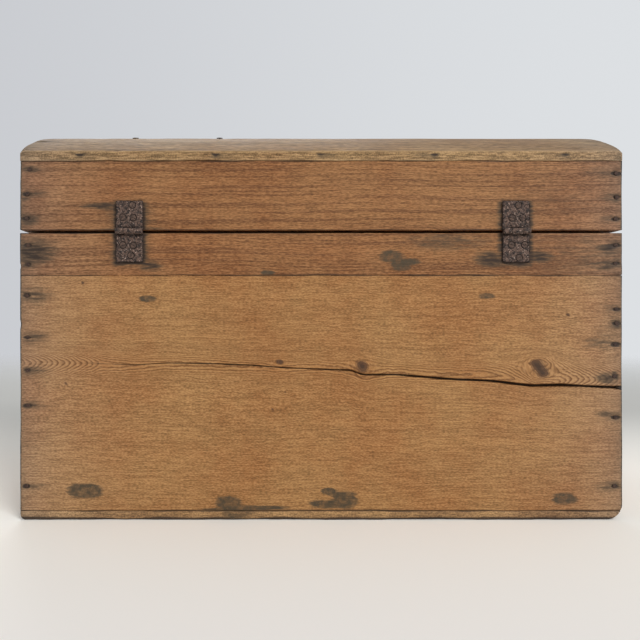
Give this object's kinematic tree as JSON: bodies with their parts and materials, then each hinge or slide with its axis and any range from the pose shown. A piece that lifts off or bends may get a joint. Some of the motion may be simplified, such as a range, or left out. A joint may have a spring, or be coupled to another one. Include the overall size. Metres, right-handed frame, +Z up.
{
  "type": "dome-top trunk",
  "caption": "Dome-top storage trunk of old pine boards with an iron-hinged lid, a box lock in the front and a drop handle on each end.",
  "frame": {"origin": "on the floor, under the middle of the case's base", "axes": "+Z up, +X along the trunk's length towards the right end as seen from the front, the front faces -Y and the hinged back faces +Y"},
  "size_m": [0.7474, 0.4596, 0.498],
  "materials": {
    "pine": "old oiled pine, satin and worn",
    "dome_pine": "old pine, paler and greyer",
    "hinge_iron": "brown-grey pitted rust, dull",
    "nail_iron": "dark rusty iron, dull",
    "screw_iron": "rusty iron, dull",
    "lock_iron": "dull rusty iron",
    "handle_iron": "dark forged iron, worn"
  },
  "bodies": {
    "case": {"bottom_board_front": "pine", "bottom_board_middle": "pine", "bottom_board_back": "pine", "back_board_lower": "pine", "back_board_upper": "pine", "front_board_lower": "pine", "front_board_upper": "pine", "left_end_board_lower": "pine", "left_end_board_upper": "pine", "right_end_board_lower": "pine", "right_end_board_upper": "pine", "hinge_case_leaf_left": "hinge_iron", "hinge_case_leaf_right": "hinge_iron", "hinge_pin_left": "hinge_iron", "hinge_pin_right": "hinge_iron", "back_corner_nails": "nail_iron", "front_corner_nails": "nail_iron", "bottom_nails": "nail_iron", "hinge_case_screws": "screw_iron", "lock_screws": "screw_iron", "handle_screws": "screw_iron", "escutcheon_pins": "screw_iron", "lock_plate": "lock_iron", "lock_shell": "lock_iron", "lock_key_pin": "lock_iron", "escutcheon": "lock_iron", "handle_plate_left": "handle_iron", "handle_plate_right": "handle_iron"},
    "lid": {"lid_back_board": "pine", "lid_front_board": "pine", "lid_left_end": "pine", "lid_right_end": "pine", "lid_plank_1": "dome_pine", "lid_plank_2": "dome_pine", "lid_plank_3": "dome_pine", "lid_plank_4": "dome_pine", "hinge_lid_leaf_left": "hinge_iron", "hinge_lid_leaf_right": "hinge_iron", "lid_corner_nails": "nail_iron", "lid_plank_edge_brads": "nail_iron", "lid_plank_nails": "nail_iron", "lid_top_tacks": "nail_iron", "hinge_lid_screws": "screw_iron", "lock_link_screws": "screw_iron", "lock_link_plate": "lock_iron"},
    "lock_bolt": {"lock_bolt": "lock_iron"},
    "handle_bail_left": {"handle_bail_left": "handle_iron"},
    "handle_bail_right": {"handle_bail_right": "handle_iron"}
  },
  "joints": [
    {"name": "lid_hinge", "type": "hinge", "parent": "case", "child": "lid", "pos_m": [0, 0.22885, 0.34195], "axis": [-1, 0, 0], "range_deg": [0, 180]},
    {"name": "lock_bolt_slide", "type": "slide", "parent": "case", "child": "lock_bolt", "axis": [1, 0, 0], "range_m": [0, 0.008]},
    {"name": "left_handle_swing", "type": "hinge", "parent": "case", "child": "handle_bail_left", "pos_m": [-0.3675, 0, 0.264], "axis": [0, 1, 0], "range_deg": [0, 180]},
    {"name": "right_handle_swing", "type": "hinge", "parent": "case", "child": "handle_bail_right", "pos_m": [0.3675, 0, 0.264], "axis": [0, -1, 0], "range_deg": [0, 180]}
  ]
}
